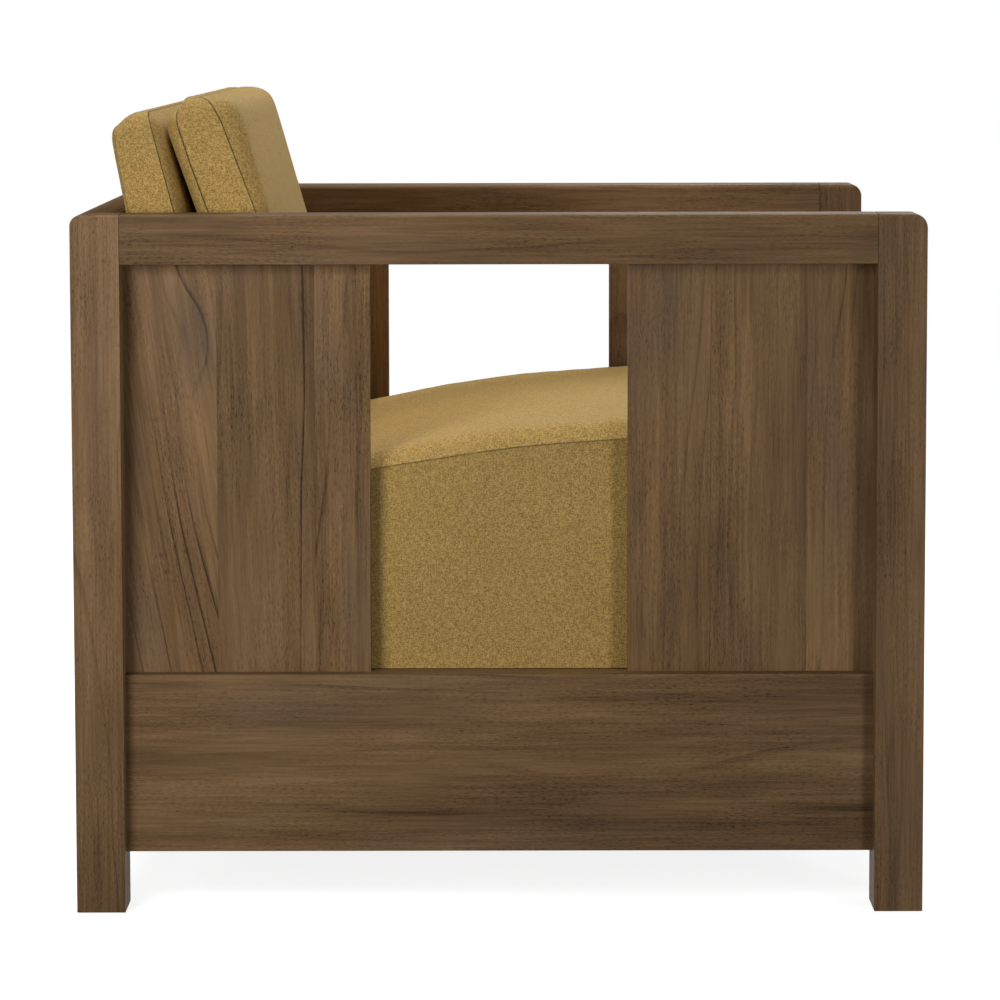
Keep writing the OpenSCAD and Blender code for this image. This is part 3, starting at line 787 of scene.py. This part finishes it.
class SeatShape:
    """The seat cushion: u across, v towards the back and w up. Its top falls towards the back."""

    bulge = 2.5 * MM
    top_swell = 0.0
    second_seam = 1.0
    corner = 26 * MM

    def __init__(self, low, high, inset=0.0):
        self.half_u = 0.3165 - inset
        self.front = low.y + SEAT_GAP + inset
        self.back = high.y - SEAT_GAP - inset
        self.half_v = (self.back - self.front) / 2
        self.bottom = low.z + inset
        self.apex = high.z - SEAT_CROWN - inset
        self.band_height = self.apex - self.bottom

    def depth(self, v):
        """How far a place lies behind the cushion's front."""
        return v + self.half_v

    def top_seam(self, v):
        """The height of the top seam: level at first, and then down through two bends."""
        y = self.depth(v) + SEAT_GAP
        return self.apex - FRONT_FALL * ramp(y, *FRONT_BEND) - REAR_FALL * ramp(y, *REAR_BEND)

    def rolls(self, which):
        if which == 1:
            return {"side": 27 * MM, "low": 38 * MM, "high": 24 * MM}
        return {"side": 12 * MM, "low": 12 * MM, "high": 12 * MM}

    def seam(self, which, v):
        return self.top_seam(v) if which == 1 else np.full_like(v, self.bottom + SEAT_GAP)

    def face(self, which, v, bow):
        if which == -1:
            return np.full_like(v, self.bottom)
        in_front = self.half_v * 2 - UNDER_THE_BACK - self.depth(v)
        open_part = smooth_step(in_front / 0.1)
        crown = SEAT_CROWN + SEAT_REAR_SINK * (open_part - 0.5) + SEAT_SWELL * bow
        return self.top_seam(v) + crown

    def settle(self, which, x, y):
        return x, y


def ramp(y, start, end):
    """Rises at a rate that grows evenly from 0 at start to 1 at end, and stays at 1 beyond it."""
    curved = np.clip(y - start, 0, None) ** 2 / (2 * (end - start))
    straight = y - (start + end) / 2
    return np.where(y < end, curved, straight)


BACK_HEIGHT = 0.380
END_RADIUS = 0.024
REAR_LEAN = 14.6
FRONT_LEAN = 20.5


def lean_to(node, lean, rise):
    """From a back cushion's own coordinates to its place, worked out from its CAD box."""
    low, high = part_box(node)
    angle = math.radians(lean)
    foot_y = high.y - END_RADIUS - (BACK_HEIGHT - 2 * END_RADIUS) * math.sin(angle)
    foot = Vector((0, foot_y, low.z + END_RADIUS))
    middle = BACK_HEIGHT / 2 - END_RADIUS + rise
    upright = Matrix(((1, 0, 0, 0), (0, 0, -1, 0), (0, 1, 0, middle), (0, 0, 0, 1)))
    return Matrix.Translation(foot) @ Matrix.Rotation(-angle, 4, "X") @ upright


SETTLE_FRAMES = 20
PANEL_HOLD = 0.5         # how firmly the filling holds the panels; the seams are held fully
MOST_SETTLING = 5 * MM


def seam_values(mesh):
    """How much each vertex belongs to a seam, from 0 to 1."""
    seam = np.zeros(len(mesh.vertices), np.float32)
    mesh.attributes["seam"].data.foreach_get("value", seam)
    return seam


def places(mesh):
    """The vertices' places, one row each."""
    flat = np.zeros(len(mesh.vertices) * 3, np.float32)
    mesh.vertices.foreach_get("co", flat)
    return flat.reshape(-1, 3)


def soft_cloth(piece):
    """A Cloth modifier for a cover that presses outwards and is held by its groups."""
    cloth = piece.modifiers.new("cloth", "CLOTH")
    settings = cloth.settings
    settings.quality = 5
    settings.mass = 0.3
    settings.tension_stiffness = 12
    settings.compression_stiffness = 12
    settings.shear_stiffness = 5
    settings.bending_stiffness = 0.3
    settings.use_pressure = True
    settings.uniform_pressure_force = 4
    settings.effector_weights.gravity = 0
    settings.vertex_group_mass = "hold"
    settings.pin_stiffness = 0.6
    settings.vertex_group_shrink = "tight"
    settings.shrink_min = -0.004
    settings.shrink_max = 0.012
    cloth.point_cache.frame_start = 1
    cloth.point_cache.frame_end = SETTLE_FRAMES
    return cloth


def simulate(piece):
    """Lets the cover settle on its filling for a moment, so that its panels fill."""
    hold = piece.vertex_groups.new(name="hold")
    tight = piece.vertex_groups.new(name="tight")
    hold.add(list(range(len(piece.data.vertices))), PANEL_HOLD, "REPLACE")
    sewn = [int(i) for i in np.nonzero(seam_values(piece.data))[0]]
    tight.add(sewn, 1.0, "REPLACE")
    hold.add(sewn, 1.0, "REPLACE")
    rest = places(piece.data)
    cloth = soft_cloth(piece)
    scene = bpy.context.scene
    scene.frame_start = 1
    scene.frame_end = SETTLE_FRAMES
    for step in range(1, SETTLE_FRAMES + 1):
        scene.frame_set(step)
    settled = piece.evaluated_get(bpy.context.evaluated_depsgraph_get()).data
    shift = places(settled) - rest
    distance = np.linalg.norm(shift, axis=1, keepdims=True)
    shift *= np.minimum(1, MOST_SETTLING / np.maximum(distance, 1e-9))
    piece.modifiers.remove(cloth)
    piece.data.vertices.foreach_set("co", (rest + shift).ravel())
    scene.frame_set(1)


def sink_seams(piece, normals):
    """Pulls the seam rows in, so that each seam lies in a narrow valley."""
    for vertex, value, normal in zip(piece.data.vertices, seam_values(piece.data), normals):
        if value:
            vertex.co -= normal * SEAM_DEPTH


def subdivide_once(piece):
    modifier = piece.modifiers.new("smooth", "SUBSURF")
    modifier.levels = 1
    modifier.render_levels = 1
    graph = bpy.context.evaluated_depsgraph_get()
    finer = piece.evaluated_get(graph)
    mesh = bpy.data.meshes.new_from_object(finer, preserve_all_data_layers=True, depsgraph=graph)
    piece.modifiers.remove(modifier)
    piece.data = mesh


def make_cushion(name, shape, to_world, body, node, cloth):
    """A cover that takes the place of a CAD cover."""
    piece = Cushion(name, shape).piece(to_world)
    normals = [vertex.normal.copy() for vertex in piece.data.vertices]
    simulate(piece)
    sink_seams(piece, normals)
    subdivide_once(piece)
    dress(piece, cloth)
    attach(piece, body)
    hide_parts(node + "_cover")
    return piece


def make_core(name, shape, to_world, body, node, filling):
    """The foam inside a cover, as a plain block of the same form a little smaller."""
    piece = Cushion(name, shape).piece(to_world)
    dress(piece, filling)
    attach(piece, body)
    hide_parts(node + "_foam")


TAPE, COIL, METAL = 0, 1, 2          # a zip's material slots
ZIP_STEP = 2 * MM
TAPE_BAR = (2.9 * MM, 0.6 * MM, -0.3 * MM)      # across, thickness and height over the cover
COIL_BAR = (2.0 * MM, 0.9 * MM, -0.1 * MM)
SLIDER_BAR = (5.0 * MM, 1.5 * MM, 0.2 * MM)
PULL_BAR = (2.6 * MM, 0.6 * MM, 1.8 * MM)
TAPE_OFFSET = 2.15 * MM
COIL_OFFSET = 0.45 * MM
TOOTH = 0.45 * MM                    # half the length of a turn of the coil
BAR_FACES = ((0, 1, 2, 3), (7, 6, 5, 4), (0, 4, 5, 1), (1, 5, 6, 2), (2, 6, 7, 3), (3, 7, 4, 0))


def points_on(cover, start, end, facing):
    """Points along a straight way over a cover, each dropped onto its surface."""
    vertices = [v.co for v in cover.data.vertices]
    tree = BVHTree.FromPolygons(vertices, [p.vertices for p in cover.data.polygons])
    count = round((end - start).length / ZIP_STEP)
    found = []
    for i in range(count + 1):
        spot = start.lerp(end, i / count)
        hit = tree.ray_cast(spot + facing * 0.03, -facing)[0]
        found.append(hit or spot)
    return found


def make_zip(name, cover, start, end, facing, body, node, tape, teeth, metal):
    """A closed zip between two points of a cover: two tapes, a coil and a slider with its pull."""
    start, end, facing = Vector(start), Vector(end), Vector(facing).normalized()
    along = (end - start).normalized()
    side = facing.cross(along)
    middles = points_on(cover, start, end, facing)
    vertices, faces, kinds = [], [], []

    def bar(a, b, size, kind, offset=0.0):
        """A square bar from a to b."""
        across, thick, lift = size
        base = len(vertices)
        for point in (a, b):
            for u, w in ((-1, 0), (1, 0), (1, 1), (-1, 1)):
                sideways = side * (offset + across * u / 2)
                vertices.append(point + sideways + facing * (lift + thick * w))
        for quad in BAR_FACES:
            faces.append([base + q for q in quad])
            kinds.append(kind)

    for a, b in zip(middles, middles[1:]):
        for hand in (-1, 1):
            bar(a, b, TAPE_BAR, TAPE, hand * TAPE_OFFSET)
    for i, spot in enumerate(middles[1:-1]):
        hand = 1 if i % 2 else -1
        bar(spot - along * TOOTH, spot + along * TOOTH, COIL_BAR, COIL, hand * COIL_OFFSET)
    head = middles[-4]
    bar(head - along * 4 * MM, head + along * 3 * MM, SLIDER_BAR, METAL)
    bar(head - along * 14 * MM, head - along * 2 * MM, PULL_BAR, METAL)
    mesh = bpy.data.meshes.new(name)
    mesh.from_pydata(vertices, [], faces)
    for polygon, kind in zip(mesh.polygons, kinds):
        polygon.material_index = kind
    piece = bpy.data.objects.new(name, mesh)
    bpy.context.scene.collection.objects.link(piece)
    dress(piece, tape, teeth, metal)
    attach(piece, body)
    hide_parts(node + "_zip")


REAR_SIZES = dict(height=0.364, back=-0.0205, front=0.0430, seam_back=-0.0165, seam_front=0.0315,
                  corner=16 * MM, top_wrap=0.0, top_roll=24 * MM, fuller=0.0, taper=0.065)
FRONT_SIZES = dict(height=0.376, back=-0.0240, front=0.0432, seam_back=-0.0090, seam_front=0.0355,
                   corner=20 * MM, top_wrap=20 * MM, top_roll=30 * MM, fuller=0.08, taper=0.015)
CORE_INSET = 6 * MM      # how far the filling stays behind its cover
TAPE_COLOURS = ((0.20, 0.14, 0.05), (0.26, 0.19, 0.075))
COIL_COLOURS = ((0.24, 0.17, 0.06), (0.30, 0.22, 0.09))


def make_seat_cushion(cloth, filling, zip_looks):
    name = "seat_cushion"
    low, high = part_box(name + "_cover")
    shape = SeatShape(low, high)
    place = Matrix.Translation((0, (shape.front + shape.back) / 2, 0))
    cover = make_cushion(name, shape, place, name, name, cloth)
    core = SeatShape(low, high, CORE_INSET)
    make_core(name + "_filling", core, place, name, name, filling)
    zip_low, zip_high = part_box(name + "_zip")
    height = (zip_low.z + zip_high.z) / 2
    start = (zip_high.x, high.y, height)
    end = (zip_low.x, high.y, height)
    make_zip("seat_zip_chain", cover, start, end, (0, 1, 0), name, name, *zip_looks)


def make_back_cushion(kind, sizes, lean, rise, fill, cloth, filling, zip_looks):
    """The rear or front back cushion: kind names it, and rise lifts it along its slope."""
    body = kind + "_back_cushion"
    node = kind + "_cushion"
    place = lean_to(node + "_cover", lean, rise)
    cover = make_cushion(body, BackShape(**sizes), place, body, node, cloth)
    core = BackShape(**sizes, inset=CORE_INSET)
    make_core(body + "_filling", core, place, body, node, filling)
    zip_low, zip_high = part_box(node + "_zip")
    middle = (zip_low + zip_high) / 2
    start = (zip_low.x, middle.y, middle.z)
    end = (zip_high.x, middle.y, middle.z)
    down = place.to_3x3() @ Vector((0, -1, 0))
    make_zip(kind + "_zip_chain", cover, start, end, down, body, node, *zip_looks)


def make_cushions():
    cloth = linen()
    filling = foam()
    tape = moulded("zip_tape", *TAPE_COLOURS)
    coil = moulded("zip_coil", *COIL_COLOURS)
    looks = (cloth, filling, (tape, coil, steel()))
    make_seat_cushion(*looks)
    make_back_cushion("rear", REAR_SIZES, REAR_LEAN, -5 * MM, 0.7, *looks)
    make_back_cushion("front", FRONT_SIZES, FRONT_LEAN, 2 * MM, 0.75, *looks)


# ---- studio ----


# Each light: its name, its place, what it aims at, the side of its square and its power in watts
LIGHTS = (
    ("key", (-1.5, 0.73, 0.85), (-0.36, 0.1, 0.40), 0.45, 11.5),
    ("low_fill", (-2.4, -1.45, 0.62), (-0.36, -0.1, 0.38), 0.5, 15.6),
    ("overhead", (0.2, 0.3, 2.8), (0, 0, 0.4), 1.4, 37.0),
    ("front_fill", (-0.4, -2.8, 1.3), (0, 0, 0.4), 1.2, 11.0),
    ("far_side", (1.9, -0.6, 2.3), (0, 0, 0.4), 1.2, 28.0),
    ("behind", (0.6, 2.8, 1.3), (0, 0, 0.5), 1.2, 12.0),
)


def softbox(name, place, aim, size, power):
    light = bpy.data.lights.new(name, "AREA")
    light.shape = "RECTANGLE"
    light.size = size
    light.size_y = size
    light.energy = power
    lamp = bpy.data.objects.new(name, light)
    lamp.location = place
    lamp.rotation_euler = (Vector(aim) - Vector(place)).to_track_quat("-Z", "Y").to_euler()
    bpy.context.scene.collection.objects.link(lamp)


def light_studio():
    for light in LIGHTS:
        softbox(*light)


def white_room():
    """White all round, which the camera sees but which lights nothing and mirrors in nothing."""
    world = bpy.data.worlds.new("white")
    world.use_nodes = True
    background = world.node_tree.nodes["Background"]
    background.inputs["Color"].default_value = grey(1.0)
    background.inputs["Strength"].default_value = 1.0
    world.cycles_visibility.diffuse = False
    world.cycles_visibility.glossy = False
    bpy.context.scene.world = world


FLOOR_REACH = 25.0
GLOW_NEAR = 0.86         # painted shade: under the chair the floor glows less, so that it is darker there and its shadow shows
GLOW_SPAN = (0.40, 1.30)


def floor():
    """A pale floor that glows enough to stay white, and takes only a faint shadow; round the chair its
    glow is dimmed, as painted shade.
    """
    corners = [(x * FLOOR_REACH, y * FLOOR_REACH, 0) for x, y in ((-1, -1), (1, -1), (1, 1), (-1, 1))]
    mesh = bpy.data.meshes.new("floor")
    mesh.from_pydata(corners, [], [(0, 1, 2, 3)])
    piece = bpy.data.objects.new("floor", mesh)
    bpy.context.scene.collection.objects.link(piece)
    piece.visible_diffuse = False
    material, g, shader = new_material("floor")
    shader.inputs["Base Color"].default_value = grey(0.55)
    shader.inputs["Roughness"].default_value = 1.0
    shader.inputs["Specular IOR Level"].default_value = 0.0
    shader.inputs["Emission Color"].default_value = grey(1.0)
    place = g.add("TexCoord", {}).outputs["Object"]
    # painted shade: the glow is dimmer near the middle, under the chair
    glow = g.fit(g.length(place), *GLOW_SPAN, GLOW_NEAR, 1.0)
    g.put(shader.inputs["Emission Strength"], glow)
    mesh.materials.append(material)


CAMERA_PLACE = (-4.2, -0.0011, 0.8817)
CAMERA_TILT = 5.224      # degrees below level
CAMERA_ROLL = -0.10


def camera_at_the_side():
    """A long lens that looks at the chair's right side from a little above it."""
    camera = bpy.data.cameras.new("camera")
    camera.sensor_width = 36.0
    camera.lens = 140.68
    camera.shift_y = -0.12
    camera.clip_end = 100.0
    place = bpy.data.objects.new("camera", camera)
    place.location = CAMERA_PLACE
    heading = Matrix.Rotation(math.radians(-90.0), 4, "Z")
    pitch = Matrix.Rotation(math.radians(90 - CAMERA_TILT), 4, "X")
    roll = Matrix.Rotation(math.radians(CAMERA_ROLL), 4, "Z")
    place.rotation_euler = (heading @ pitch @ roll).to_euler()
    bpy.context.scene.collection.objects.link(place)
    bpy.context.scene.camera = place


def colour_settings():
    view = bpy.context.scene.view_settings
    view.view_transform = "Standard"
    view.look = "None"
    view.exposure = 0.0
    view.gamma = 1.0


make_cushions()
dress_frame_wood()
dress_deck_wood()
dress_fittings()
ease_all_wood()
white_room()
floor()
light_studio()
camera_at_the_side()
colour_settings()
